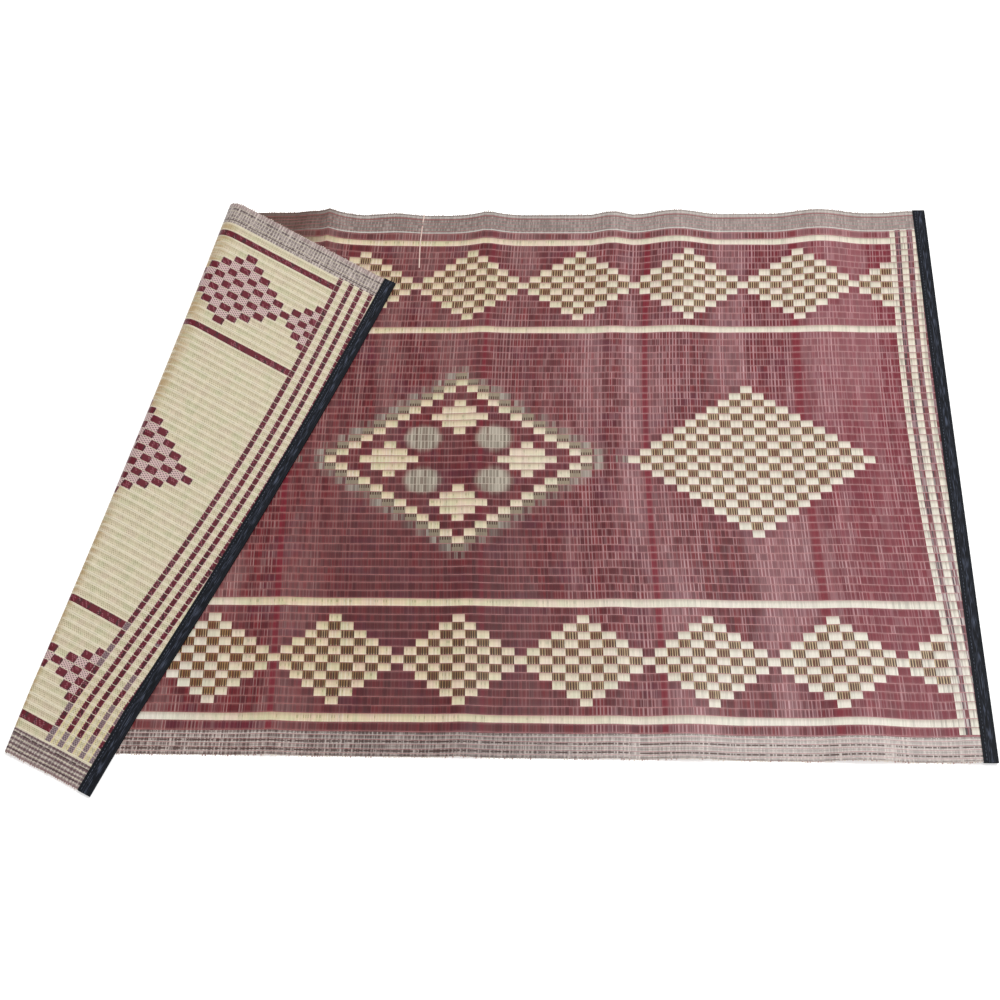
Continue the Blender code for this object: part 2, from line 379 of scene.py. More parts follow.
class Nodes:
    """A tree of nodes, with one method that adds any node and gives what comes out of it."""

    def __init__(self, tree):
        self.tree = tree

    def node(self, kind, settings=None, sockets=None, output=0):
        made = self.tree.nodes.new(kind)
        for name, value in (settings or {}).items():
            setattr(made, name, value)
        for key, value in (sockets or {}).items():
            self.feed(made.inputs[key], value)
        return Value(self, made.outputs[output])

    def feed(self, socket, value):
        if isinstance(value, Value):
            self.tree.links.new(value.socket, socket)
        else:
            socket.default_value = value

    def math(self, operation, *values):
        return self.node("ShaderNodeMath", {"operation": operation}, dict(enumerate(values)))

    def point(self, x, y):
        return self.node("ShaderNodeCombineXYZ", None, {0: x, 1: y})

    def split(self, place):
        """The x and the y of a place."""
        x = self.node("ShaderNodeSeparateXYZ", None, {0: place})
        return x, x.other(1)

    def object_place(self):
        return self.split(self.node("ShaderNodeTexCoord", None, None, 3))

    def attribute(self, name):
        """A number of the mesh's points, read by its name."""
        return self.node("ShaderNodeAttribute", {"attribute_name": name}, None, 2)

    def mix(self, factor, first, second):
        """The first colour where factor is 0, the second where it is 1."""
        settings = {"data_type": "RGBA", "clamp_factor": True}
        return self.node("ShaderNodeMix", settings, {0: factor, 6: first, 7: second}, 2)

    def layers(self, color, *coats):
        """A colour under coats of (share, colour), each laid over those before it."""
        for share, coat in coats:
            color = self.mix(share, color, coat)
        return color

    def shade(self, color, factor):
        return self.node("ShaderNodeVectorMath", {"operation": "SCALE"}, {0: color, 3: factor})

    def random(self, x, y):
        """An even random number for each pair of whole numbers."""
        return self.node("ShaderNodeTexWhiteNoise", {"noise_dimensions": "2D"}, {0: self.point(x, y)})

    def cloud(self, x, y, detail=2.0):
        """Soft noise around a half."""
        settings = {"noise_dimensions": "2D"}
        sockets = {"Vector": self.point(x, y), "Scale": 1.0, "Detail": detail}
        return self.node("ShaderNodeTexNoise", settings, sockets)


def operator(operation, swapped=False):
    """A method of a value that adds a Math node, with the value last if swapped."""
    def method(self, *others):
        return self.nodes.math(operation, *((*others, self) if swapped else (self, *others)))
    return method


class Value:
    """What comes out of a node, with the sums that the patterns need.

    Masks join with ~ and with & and |, which give the lesser and the greater of two values.
    """

    def __init__(self, nodes, socket):
        self.nodes = nodes
        self.socket = socket

    def other(self, output):
        """Another output of the same node."""
        return Value(self.nodes, self.socket.node.outputs[output])

    def ease(self, low, high, start=0.0, end=1.0):
        """Eased from start to end while the value goes from low to high."""
        settings = {"interpolation_type": "SMOOTHSTEP"}
        sockets = {0: self, 1: low, 2: high, 3: start, 4: end}
        return self.nodes.node("ShaderNodeMapRange", settings, sockets)

    def __invert__(self):
        return 1.0 - self

    __add__ = __radd__ = operator("ADD")
    __sub__ = operator("SUBTRACT")
    __rsub__ = operator("SUBTRACT", swapped=True)
    __mul__ = __rmul__ = operator("MULTIPLY")
    __truediv__ = operator("DIVIDE")
    __mod__ = operator("FLOORED_MODULO")
    __lt__ = operator("LESS_THAN")
    __gt__ = operator("GREATER_THAN")
    __and__ = operator("MINIMUM")
    __or__ = operator("MAXIMUM")
    __abs__ = operator("ABSOLUTE")
    floor = operator("FLOOR")
    whole = operator("ROUND")
    sine = operator("SINE")


class MaterialNodes(Nodes):
    """The nodes of a new material, which feed its shader."""

    def __init__(self, name, roughness, specular=0.5):
        self.material = bpy.data.materials.new(name)
        self.material.use_nodes = True
        super().__init__(self.material.node_tree)
        self.inputs = self.tree.nodes["Principled BSDF"].inputs
        self.inputs["Roughness"].default_value = roughness
        self.inputs["Specular IOR Level"].default_value = specular

    def with_color(self, color):
        """The material, once it has its colour."""
        self.feed(self.inputs["Base Color"], color)
        return self.material


def paint(red, green, blue):
    """A colour as the eye reads it, 0 to 255, made linear for the shader."""
    shares = [x / 255 for x in (red, green, blue)]
    return tuple(x / 12.92 if x <= 0.04045 else ((x + 0.055) / 1.055) ** 2.4 for x in shares) + (1.0,)


STRAWS_PER_COLUMN = 10
# So many neighbouring straws show as one strand
STRAWS_PER_STRAND = 3
# How far the columns drift along the length, and how far each row is out of step, in columns
COLUMN_DRIFT = 0.16
ROW_STAGGER = 0.10
# Packing creases, where the straws part and the deep maroon shows, with painted shade: column, half width,
# strength
CREASES = ((-15.0, 0.34, 1.0), (1.95, 0.30, 1.0), (16.1, 0.34, 1.0), (29.6, 0.44, 1.0))
# Ridges beside them, where the paler straws come up, with a painted highlight
RIDGES = ((-13.6, 0.70, 1.0), (2.7, 0.40, 1.0), (19.6, 0.70, 1.0), (31.0, 0.60, 1.0), (34.4, 0.60, 1.0))

MAROON = paint(120, 24, 32)
DEEP_MAROON = paint(88, 12, 22)
CREASE_RED = paint(124, 14, 36)
CRIMSON = paint(128, 16, 42)
SMOKE = paint(76, 46, 48)
LILAC = paint(194, 156, 152)
PINK = paint(214, 170, 174)
PURPLE = paint(98, 32, 56)
# Painted highlight on the straws beside each warp thread, with glimpses of the light thread
SHOW_THROUGH_AND_HIGHLIGHT = paint(196, 150, 144)
CREAM = paint(228, 208, 172)
CREAM_HIGHLIGHT = paint(240, 224, 196)
CREAM_GREEN = paint(208, 206, 162)
CREAM_GREEN_FLECK = paint(150, 160, 112)
CREAM_PINK = paint(230, 200, 180)
CREAM_WHITE = paint(244, 241, 232)
CREAM_SHADE = paint(130, 92, 74)
OLIVE = paint(156, 116, 70)
DARK_BROWN = paint(74, 46, 28)
RED_BROWN = paint(100, 52, 32)
GREY = paint(122, 114, 104)
PALE_GREY = paint(184, 178, 164)
PETAL_GREY = paint(128, 116, 100)
PETAL_PALE = paint(212, 202, 184)
OLIVE_GREY = paint(162, 148, 124)
WARM_SHADE = paint(84, 50, 38)


def grey_petal(side, outer):
    """1 in the middle of each of the medallion's four grey petals, fading outwards."""
    across, along = (side - 3.1) / 1.70, (outer - 2.95) / 1.90
    return (across * across + along * along).ease(1.30, 0.35)


class Weave:
    """What every material of the sheet reads from the chart: places, straws and figures."""

    def __init__(self, nodes):
        x, y = nodes.split(nodes.node("ShaderNodeUVMap", {"uv_map": UV_NAME}))
        straight = (x - 0.5) * CHART_SPAN
        drift = nodes.cloud(straight * 0.9, 0.0, 0.0) - 0.5
        self.u = straight + drift * COLUMN_DRIFT
        self.v = (y - 0.5) * CHART_SPAN
        self.row = self.v.whole()
        self.in_row = self.v - self.row
        shifted = self.u + (nodes.random(self.row, 31.0) - 0.5) * ROW_STAGGER
        column = shifted.whole()
        self.in_column = shifted - column
        self.side = abs(column)
        self.band = abs(self.row)
        self.outer = abs(self.v)
        self.outward = self.outer - self.band
        self.front = self.v < 0.0
        straws = self.u * STRAWS_PER_COLUMN
        self.straw = straws.floor()
        self.in_straw = straws - self.straw
        pairs = straws / 2.0
        self.pair = pairs.floor()
        self.in_pair = pairs - self.pair
        strands = self.u * (STRAWS_PER_COLUMN / STRAWS_PER_STRAND)
        strand = strands.floor()
        self.seam = abs(strands - strand - 0.5).ease(0.20, 0.50)
        # Paler towards the right end: partly bleached straws, partly painted sheen of the window light
        self.bleach_and_sheen = self.u.ease(-8.0, 26.0)
        # Painted shade: the ground darker and less pale in front of the middle, where less sheen falls
        self.front_shade = abs(self.u + 2.5).ease(15.0, 5.0) * self.v.ease(16.0, -22.0, 0.35, 1.4)
        self.tone = nodes.random(self.straw, 3.0)
        self.bit = nodes.random(self.straw, self.row)
        self.run = nodes.random(strand, 11.0)
        self.spot = nodes.random(strand, self.row)
        # Strands keep their tone from row to row, more so in front
        held = self.v.ease(12.0, -15.0, 0.70, 0.52)
        self.grain = self.run * held + self.spot * ~held
        self.pale_seam = self.seam * self.grain.ease(0.40, 0.88)
        self.figures()
        self.borders()

    def figures(self):
        """The medallion, the chequered diamonds beside it and the small ones of the borders."""
        side, band = self.side, self.band
        ring = side + band
        tip = band < 0.5
        diamond = abs(side - DIAMOND_COLUMN) + band
        from_motif = side % MOTIF_PITCH
        motif = (from_motif & (MOTIF_PITCH - from_motif)) + abs(band - MOTIF_ROW)
        middle_rows = band < INNER_STRIPE - 0.5
        border_rows = abs(band - MOTIF_ROW) < BORDER_REACH
        in_diamond = (diamond < DIAMOND_REACH) & middle_rows
        in_motif = (motif < MOTIF_REACH) & border_rows
        odd_diamond, odd_motif = diamond % 2.0, motif % 2.0
        checks = (in_diamond & ~odd_diamond) | (in_motif & odd_motif)
        cream_petal = side + abs(band - PETAL_STEP) < PETAL_REACH
        cream_petal = cream_petal | (abs(side - PETAL_STEP) + band < PETAL_REACH)
        outer_stripe = (self.outer > OUTER_STRIPE[0]) & (self.outer < OUTER_STRIPE[1])
        self.stripe = (abs(band - INNER_STRIPE) < 0.5) | outer_stripe
        self.light = checks | cream_petal | (abs(ring - RING) < 0.5) | self.stripe
        self.barred = (in_diamond & odd_diamond) | (in_motif & ~odd_motif)
        self.grey_petal = grey_petal(abs(self.u), (band + self.outer) / 2.0)
        # Round the medallion's ring: dotted cells, haze, and dashes at its left and right tips
        next_ring = abs(ring - RING - 1.0) < 0.5
        self.dotted = next_ring & ~tip
        around = (abs(self.u) + band).ease(14.2, 12.7)
        self.hazy = ((ring > RING + 1.5) * around & ~tip) | (next_ring & tip)
        self.dashed = (abs(ring - RING - 3.0) < 0.5) & tip
        # The ground is plainer inside the medallion and one step round the chequered figures
        beside = (abs(diamond - DIAMOND_REACH - 0.5) < 0.5) & middle_rows
        beside = beside | ((abs(motif - MOTIF_REACH - 0.5) < 0.5) & border_rows)
        self.plain = (ring < RING - 0.5) | beside

    def borders(self):
        """The striped ends and the fine rows of the selvedges."""
        right = self.u > 0.0
        start, width = [left + right * (other - left) for left, other in (STRIPES_FROM, STRIPE_WIDTHS)]
        past = (abs(self.u) - start) / width
        end = (past > 0.0) & (self.outer < END_ROWS - self.front * END_SHORTER)
        self.selvedge = (self.outer > SELVEDGE_FROM) & ~end
        self.end_stripe = past.floor()
        self.in_stripe = past - self.end_stripe - 0.5
        odd = self.end_stripe % 2.0
        self.end_light = end & ~odd
        self.end_dark = end & odd

    def lines(self, value, places):
        """Thin lines where the value is at each (place, half width, strength)."""
        mask = 0.0
        for place, half, strength in places:
            mask = (abs(value - place).ease(half, half * 0.4) * strength) | mask
        return mask


def ground_color(nodes, weave):
    """The maroon ground: paler strands among dark ones, which run on from row to row."""
    u, v, spot = weave.u, weave.v, weave.spot
    bands = nodes.cloud(u * 0.22, v * 0.02)
    patches = nodes.cloud(u * 0.9 + 40.0, v * 0.30)
    tint = nodes.cloud(u * 0.30 + 70.0, v * 0.28)
    crease, ridge = weave.lines(u, CREASES), weave.lines(u, RIDGES)
    # Painted sheen: a little paler all over behind the middle, right of the medallion
    lit_pale = abs(u - 12.0).ease(12.0, 5.0) * v.ease(4.0, 14.0, 0.0, 0.05)
    pale = (bands + patches * 0.15).ease(0.50, 0.72, 0.0, 0.18) + lit_pale
    pale = pale + weave.pale_seam * (ridge * 0.25 + 0.74) + weave.bit.ease(0.6, 1.0, 0.0, 0.20)
    # Less pale in the creases, inside the plain figures, and under the painted shade in front of the middle
    pale = pale * ~(crease * 0.85) * ~(weave.plain * 0.4) * ~(weave.front_shade * 0.6)
    # The straws are paler where they bend under a warp thread: a painted highlight on the bend, with
    # glimpses of the light thread
    lit_bend = abs(weave.in_row).ease(0.22, 0.48) * (spot + bands).ease(0.4, 1.2, 0.5, 1.0)
    return nodes.layers(
        DEEP_MAROON,
        ((spot + weave.tone * 0.4).ease(0.2, 1.2), MAROON),
        (tint.ease(0.52, 0.70, 0.0, 0.4), PURPLE),
        (u.ease(22.0, 38.0, 0.0, 0.7), CRIMSON),
        ((patches + spot * 0.3).ease(0.55, 0.90, 0.0, 0.3), SMOKE),
        # Deep red in the creases: the maroon that shows, and painted shade
        (crease * spot.ease(0.0, 0.7, 0.6, 1.0), CREASE_RED),
        # Pale straws turn from lilac to pink towards the right end, partly bleaching and partly painted
        # sheen
        (pale, nodes.mix(weave.bleach_and_sheen, LILAC, PINK)),
        (lit_bend * 0.20, SHOW_THROUGH_AND_HIGHLIGHT),
        ((weave.outer > 33.4) * ~weave.front * 0.05, PALE_GREY),
    )


def cream_color(nodes, weave):
    """Cream straws, brightest along the near edge of each row and darker where they go under: a painted
    highlight and painted shade.
    """
    u, bit, in_row = weave.u, weave.bit, weave.in_row
    tint = nodes.cloud(u * 0.8 + 9.0, weave.v * 0.5 + 5.0)
    flecked = (bit > 0.86) & (abs(in_row - 0.10) < 0.16)
    # Whiter towards the right end, partly bleaching and partly painted sheen, and towards the left end,
    # painted light
    lit_pale = weave.bleach_and_sheen | u.ease(-14.0, -26.0)
    whiter = lit_pale * weave.v.ease(15.0, -20.0, 0.52, 0.70)
    # Greyer strands show between the cream straws, most of all towards the right end
    strand = weave.grain.ease(0.45, 0.90) * ~weave.seam
    return nodes.layers(
        # Painted highlight along the near edge of each row, under the cream of the rest
        CREAM_HIGHLIGHT,
        (in_row.ease(-0.45, -0.12), CREAM),
        (tint.ease(0.48, 0.70, 0.0, 0.6), CREAM_GREEN),
        (tint.ease(0.50, 0.30, 0.0, 0.6), CREAM_PINK),
        (flecked * 0.55, CREAM_GREEN_FLECK),
        (bit.ease(0.70, 1.0, 0.0, 0.22), OLIVE),
        (whiter | weave.pale_seam * 0.40, CREAM_WHITE),
        # Painted shade towards the far edge, where the straws go under
        (in_row.ease(-0.05, 0.5, 0.0, 0.42), CREAM_SHADE),
        (strand * u.ease(28.0, 39.0, 0.12, 0.30), GREY),
        (bit.ease(0.6, 1.0) * u.ease(30.0, 39.0, 0.0, 0.40), GREY),
    )


def barred_color(nodes, weave):
    """Dark and olive straws side by side, the olive ones cream along the near edge of the row."""
    uneven = nodes.random(weave.pair, weave.row)
    dark = (weave.in_pair < 0.48 + uneven * 0.36) * weave.in_row.ease(0.15, 0.5, 1.0, 0.65)
    return nodes.layers(
        OLIVE,
        (weave.in_row.ease(-0.20, -0.48, 0.0, 0.65), CREAM),
        (weave.bit.ease(0.6, 1.0, 0.0, 0.35), CREAM),
        # Creamier towards the right end, partly bleaching and partly painted sheen, and towards the back
        (weave.bleach_and_sheen * 0.45 | weave.v.ease(-8.0, 20.0, 0.0, 0.25), CREAM),
        (dark, nodes.mix(uneven.ease(0.4, 0.9), DARK_BROWN, RED_BROWN)),
    )


END_WINE = paint(118, 50, 56)
END_SMOKE = paint(76, 54, 58)
END_LILAC = paint(150, 118, 124)


def end_stripe_color(nodes, weave):
    """A dark stripe of the right end: wine, smoke and lilac straws, broken at every row."""
    mood = nodes.random(weave.row, weave.end_stripe + 40.0)
    flecks = nodes.random(weave.straw, weave.row + 50.0).ease(0.55, 0.9) * weave.v.ease(10.0, -20.0)
    return nodes.layers(
        END_WINE,
        ((weave.bit * 0.7 + mood * 0.5).ease(0.35, 0.95), END_LILAC),
        ((weave.tone * 0.6 + weave.bit * 0.5) > 0.80, END_SMOKE),
        (flecks * 0.45, CREAM_WHITE),
        (weave.outward.ease(0.25, 0.5, 0.0, 0.4), LILAC),
    )


SELVEDGE_GREY = paint(104, 84, 80)
SELVEDGE_PALE = paint(204, 188, 180)
SELVEDGE_CALM = paint(124, 112, 106)
SELVEDGE_LINE = paint(228, 220, 213)
SELVEDGE_DOTS = paint(80, 54, 48)
SELVEDGE_RED = paint(142, 82, 80)
# Dotted and pale lines of the selvedges, by row: place, half width, strength
FRONT_DOTS = ((34.70, 0.08, 0.65), (35.16, 0.06, 0.30), (35.68, 0.12, 0.95), (36.22, 0.06, 0.35),
              (36.70, 0.13, 0.95), (37.24, 0.08, 0.60))
FRONT_PALE = ((34.94, 0.09, 0.60), (35.38, 0.07, 0.45), (35.94, 0.09, 0.60), (36.40, 0.06, 0.35),
              (36.98, 0.09, 0.60))
BACK_PALE = ((34.72, 0.10, 0.80), (37.30, 0.20, 0.45))
BACK_RED = ((36.95, 0.14, 0.80),)


def face_selvedge_color(nodes, weave):
    """Fine rows of grey straws: dotted brown lines at the front, a single red one at the back."""
    outer = weave.outer
    fine_bit = nodes.random(weave.straw, (outer * 2.0).floor() + 100.0)
    bands = nodes.cloud(weave.u * 0.5 + 15.0, 2.0)
    pale_mottle = fine_bit * 0.55 + weave.spot * 0.15 + weave.seam * 0.25 + bands * 0.5
    broken = nodes.random(weave.straw, 77.0).ease(0.15, 0.45)
    front = nodes.layers(
        SELVEDGE_GREY,
        (pale_mottle.ease(0.35, 1.15), SELVEDGE_PALE),
        # Paler towards the right end, partly bleaching and partly painted sheen
        (weave.bleach_and_sheen * 0.50 | weave.pale_seam * 0.50, SELVEDGE_LINE),
        (weave.lines(outer, FRONT_PALE), SELVEDGE_LINE),
        (weave.lines(outer, FRONT_DOTS) * broken, SELVEDGE_DOTS),
    )
    back = nodes.layers(
        SELVEDGE_CALM,
        (pale_mottle.ease(0.35, 1.25, 0.0, 0.65), SELVEDGE_PALE),
        # Paler towards the right end, partly bleaching and partly painted sheen
        (weave.bleach_and_sheen * 0.14, SELVEDGE_LINE),
        (weave.lines(outer, BACK_PALE), SELVEDGE_LINE),
        (weave.lines(outer, BACK_RED), SELVEDGE_RED),
    )
    return nodes.mix(weave.front, back, front)


def straw_finish(nodes, weave, color, gap_shade, tone):
    """The sheet's material: the colour with painted shade between round straws that lie side by side."""
    gap_shading = abs(weave.in_straw - 0.5).ease(0.30, 0.50, 1.0, gap_shade)
    off = (weave.in_straw - 0.5) * 2.0
    relief = {"Strength": 0.14, "Distance": 0.0005, "Height": 1.0 - off * off}
    nodes.feed(nodes.inputs["Normal"], nodes.node("ShaderNodeBump", None, relief))
    return nodes.with_color(nodes.shade(color, gap_shading * tone))


def face_material():
    nodes = MaterialNodes("Woven straw face", 0.43, specular=0.35)
    weave = Weave(nodes)
    bit, grain, seam = weave.bit, weave.grain, weave.seam
    haze_share = weave.hazy * (grain + bit * 0.3).ease(0.25, 1.0, 0.10, 0.85)
    haze_share = haze_share | (weave.dashed * bit.ease(0.4, 0.9, 0.1, 0.8))
    haze = nodes.mix((grain + seam * 0.3).ease(0.2, 1.1), GREY, PALE_GREY)
    dashes = nodes.layers(
        OLIVE_GREY,
        ((weave.outward < -0.05) & (weave.straw % 2.0), DARK_BROWN),
        (bit.ease(0.3, 1.0, 0.0, 0.30), GREY),
    )
    petal = nodes.mix((grain * 0.6 + seam * 0.4 + bit * 0.3).ease(0.2, 1.0), PETAL_GREY, PETAL_PALE)
    color = nodes.layers(
        ground_color(nodes, weave),
        (haze_share, haze),
        (weave.dotted * 0.9, dashes),
        (weave.grey_petal * grain.ease(0.1, 0.6, 0.70, 0.95), petal),
        (weave.barred, barred_color(nodes, weave)),
        (weave.selvedge, face_selvedge_color(nodes, weave)),
    )
    # Warm shade beside the loop, at the back
    warm = nodes.attribute("past_fold").ease(-0.22, -0.09, 0.0, 0.80) * weave.v.ease(24.0, 32.0)
    cream = cream_color(nodes, weave)
    color = nodes.layers(
        # Painted shade darkens all but the cream in front of the middle
        nodes.shade(color, 1.0 - weave.front_shade * 0.18),
        (weave.light, cream),
        (weave.end_light, cream),
        (weave.end_dark, end_stripe_color(nodes, weave)),
        (warm, WARM_SHADE),
    )
    return straw_finish(nodes, weave, color, 0.74, weave.tone.ease(0.0, 1.0, 0.93, 1.06))


REVERSE_CREAM = paint(224, 211, 180)
REVERSE_HIGHLIGHT = paint(242, 232, 206)
REVERSE_STITCH_AND_SHADE = paint(142, 132, 98)
REVERSE_GREEN = paint(206, 206, 168)
REVERSE_ROSE = paint(222, 200, 180)
REVERSE_WINE = paint(102, 12, 32)
WINE_DARK = paint(54, 28, 30)
WINE_LIGHT = paint(150, 80, 92)
REVERSE_PINK = paint(216, 184, 180)
REVERSE_GREY = paint(84, 74, 74)
REVERSE_YELLOW = paint(224, 208, 128)
EDGE_GREY = paint(212, 198, 190)
EDGE_DARK = paint(122, 108, 106)
EDGE_WINE = paint(88, 50, 58)
REVERSE_LILAC = paint(168, 144, 148)
FOLD_GLOW_TAN = paint(186, 152, 104)
# Dotted lines of the reverse's selvedges, by row: place, half width, strength
REVERSE_DOTS = ((35.10, 0.10, 0.85), (36.80, 0.09, 0.75))


def rounded(across, along):
    """1 inside a square of half width 1 with round corners."""
    across, along = across * across, along * along
    return (across * across * across + along * along * along) < 1.0


def reverse_selvedge_color(nodes, weave, fleck):
    """Fine straws of pinkish grey between thin dotted wine lines."""
    fine_bit = nodes.random(weave.straw, (weave.outer * 2.0).floor() + 200.0)
    pale_mottle = fine_bit * 0.45 + weave.seam * 0.40 + weave.run * 0.15
    # A fine dark row between every two warp threads at the front
    between = (weave.v * (math.pi * 4.0) + math.pi / 2).sine()
    rows = between.ease(0.1, -0.7) * fine_bit.ease(0.0, 0.6, 0.35, 0.85) * weave.front
    return nodes.layers(
        EDGE_DARK,
        (pale_mottle.ease(0.10, 0.90), EDGE_GREY),
        (rows, EDGE_WINE),
        (weave.outer.ease(37.0, 37.2, 0.0, 0.2), REVERSE_PINK),
        (weave.lines(weave.outer, REVERSE_DOTS) * (fleck > 0.2), WINE_DARK),
    )


def reverse_material():
    nodes = MaterialNodes("Woven straw reverse", 0.45, specular=0.35)
    weave = Weave(nodes)
    u, v, in_row = weave.u, weave.v, weave.in_row
    fleck = nodes.random(weave.pair, (v * 3.0).floor())
    # Small staggered stitches, five to a column and three to a row
    waves = (u * (math.pi * STRAWS_PER_COLUMN)).sine() * (v * (math.pi * 6.0)).sine()
    stitch = waves.ease(0.0, 0.8) * fleck.ease(0.0, 0.8, 0.35, 1.0)
    tint = nodes.cloud(u * 0.8 + 21.0, v * 0.5 + 3.0)
    # Painted light: warm tan where light comes through the loop as it turns over
    turned = nodes.attribute("turned")
    edge = turned.ease(0.38, 0.50) * turned.ease(1.05, 0.58)
    streak = nodes.cloud(u * 0.5, v * 2.2)
    cream = nodes.layers(
        REVERSE_CREAM,
        (tint.ease(0.48, 0.70, 0.0, 0.6), REVERSE_GREEN),
        (tint.ease(0.50, 0.28, 0.0, 0.5), REVERSE_ROSE),
        (stitch * 0.85, REVERSE_STITCH_AND_SHADE),
        # Painted shade beside each row line, and a painted highlight along it
        (abs(in_row - 0.14).ease(0.26, 0.08, 0.0, 0.22), REVERSE_STITCH_AND_SHADE),
        (abs(in_row).ease(0.26, 0.48, 0.0, 0.9), REVERSE_HIGHLIGHT),
        (edge * streak.ease(0.35, 0.62, 0.20, 1.0), FOLD_GLOW_TAN),
    )
    # Wine dashes with darker ends
    ends = abs(weave.in_column).ease(0.22, 0.42)
    wine = nodes.layers(
        REVERSE_WINE,
        (ends * fleck.ease(0.1, 0.8, 0.1, 0.9), WINE_DARK),
        ((fleck > 0.72) & (waves > 0.1), WINE_LIGHT),
    )
    dots = (u * (math.pi * 6.0)).sine() * (v * (math.pi * 6.0)).sine()
    pink = nodes.mix(dots.ease(0.15, 0.65), REVERSE_PINK, REVERSE_GREY)
    cell = rounded(weave.in_column / 0.48, in_row / 0.43)
    dash = rounded(weave.in_stripe / 0.42, in_row / 0.46)
    # Towards the front corner dashes turn lilac, first in the two outer stripes, and cream turns yellow
    outer_stripe = (weave.end_stripe < 0.5) | (weave.end_stripe > 5.5)
    lilac = outer_stripe * (nodes.random(weave.end_stripe, weave.row) > v.ease(-8.0, -26.0, 1.0, 0.5))
    spent = (lilac * 0.75) | (weave.front & (weave.outer > 32.4))
    stripe = nodes.mix(spent, wine, nodes.mix(waves.ease(-0.5, 0.5), REVERSE_LILAC, REVERSE_GREY))
    yellow = v.ease(-22.0, -33.0) * abs(weave.in_stripe).ease(0.15, 0.45, 0.0, 0.5)
    color = nodes.layers(
        cream,
        (weave.barred | weave.dotted | weave.hazy | weave.grey_petal, pink),
        (weave.light & ~weave.stripe, nodes.mix(cell, pink, wine)),
        (weave.stripe & (abs(in_row) < 0.44), wine),
        (weave.end_light, nodes.mix(dash, pink, stripe)),
        (weave.end_dark, nodes.mix(yellow, cream, REVERSE_YELLOW)),
        (weave.selvedge, reverse_selvedge_color(nodes, weave, fleck)),
    )
    tone = (weave.tone + weave.bit).ease(0.0, 2.0, 0.95, 1.05)
    return straw_finish(nodes, weave, color, 0.86, tone)


# A warp thread's colours at the folded end, at the right end and over the grey petals
FACE_THREAD = (paint(178, 110, 108), paint(202, 144, 148), paint(214, 204, 186))
REVERSE_THREAD = (paint(236, 224, 198), paint(240, 230, 208), paint(236, 224, 204))


def thread_material(name, left, right, on_petal):
    """A warp thread, from its colour at the folded end to that at the right end."""
    nodes = MaterialNodes(name, 0.38)
    column, row = nodes.attribute("column"), nodes.attribute("row")
    fade = nodes.cloud(column * 1.3, row).ease(0.35, 0.65, 0.80, 1.06) * row.ease(-20.0, 5.0, 1.0, 0.94)
    color = nodes.shade(nodes.mix(column.ease(-16.0, 19.0), left, right), fade)
    return nodes.with_color(nodes.mix(grey_petal(abs(column), abs(row)) * 0.85, color, on_petal))


def loose_straw_material():
    nodes = MaterialNodes("Loose straw", 0.40)
    x, y = nodes.object_place()
    fade = nodes.cloud(x * 200.0, y * 90.0).ease(0.35, 0.65)
    return nodes.with_color(nodes.mix(fade, paint(226, 190, 180), paint(236, 214, 200)))


def straw_end_material():
    nodes = MaterialNodes("Cut straw ends", 0.45)
    tone = nodes.attribute("tone").ease(0.35, 0.65)
    return nodes.with_color(nodes.mix(tone, paint(160, 122, 112), paint(214, 200, 184)))


def stitch_material():
    nodes = MaterialNodes("Binding stitches", 0.50)
    return nodes.with_color(nodes.mix(nodes.attribute("tone"), paint(40, 46, 60), paint(100, 108, 126)))


TAPE_BLACK = paint(9, 12, 17)
TAPE_NAVY = paint(24, 28, 38)
TAPE_SHEEN = paint(74, 80, 96)


def tape_material():
    """Dark navy tape, with a painted sheen in dashes along its middle."""
    nodes = MaterialNodes("Binding tape", 0.60, specular=0.15)
    across, along = nodes.attribute("across"), nodes.attribute("along")
    streak = nodes.cloud(across * 1400.0, along * 14.0)
    # Painted sheen in dashes along the tape's middle
    pale_mottle = nodes.cloud(across * 800.0 + 7.0, along * 42.0, 1.0)
    in_middle = abs(across - 0.45 * TAPE_WIDTH).ease(0.34 * TAPE_WIDTH, 0.05 * TAPE_WIDTH)
    return nodes.with_color(nodes.layers(
        TAPE_BLACK,
        (streak.ease(0.40, 0.70), TAPE_NAVY),
        (in_middle * pale_mottle.ease(0.50, 0.70), TAPE_SHEEN),
    ))


def new_geometry_tree(name, inputs):
    """An empty tree of geometry nodes with named inputs. Gives (tree nodes, values of the inputs)."""
    tree = bpy.data.node_groups.new(name, "GeometryNodeTree")
    tree.interface.new_socket("Geometry", in_out="INPUT", socket_type="NodeSocketGeometry")
    tree.interface.new_socket("Geometry", in_out="OUTPUT", socket_type="NodeSocketGeometry")
    for label, kind in inputs.items():
        tree.interface.new_socket(label, in_out="INPUT", socket_type=kind)
    nodes = Nodes(tree)
    start = nodes.node("NodeGroupInput")
    return nodes, {label: start.other(label) for label in ("Geometry", *inputs)}


def end_tree(nodes, geometry, material):
    """Realizes a tree's instances, gives them their material and ends the tree."""
    real = nodes.node("GeometryNodeRealizeInstances", None, {0: geometry})
    done = nodes.node("GeometryNodeSetMaterial", None, {"Geometry": real, "Material": material})
    end = nodes.tree.nodes.new("NodeGroupOutput")
    nodes.feed(end.inputs[0], done)
    return nodes.tree


def grown(name, mesh, tree, **sizes):
    """The plain mesh that a tree grows from a mesh of points, as a piece of that name."""
    piece = new_piece(name, mesh)
    modifier = piece.modifiers.new("Growth", "NODES")
    modifier.node_group = tree
    for item in tree.interface.items_tree:
        if item.in_out == "INPUT" and item.name in sizes:
            modifier[item.identifier] = sizes[item.name]
    depsgraph = bpy.context.evaluated_depsgraph_get()
    result = bpy.data.meshes.new_from_object(piece.evaluated_get(depsgraph))
    result.name = name
    piece.modifiers.clear()
    piece.data = result
    return piece


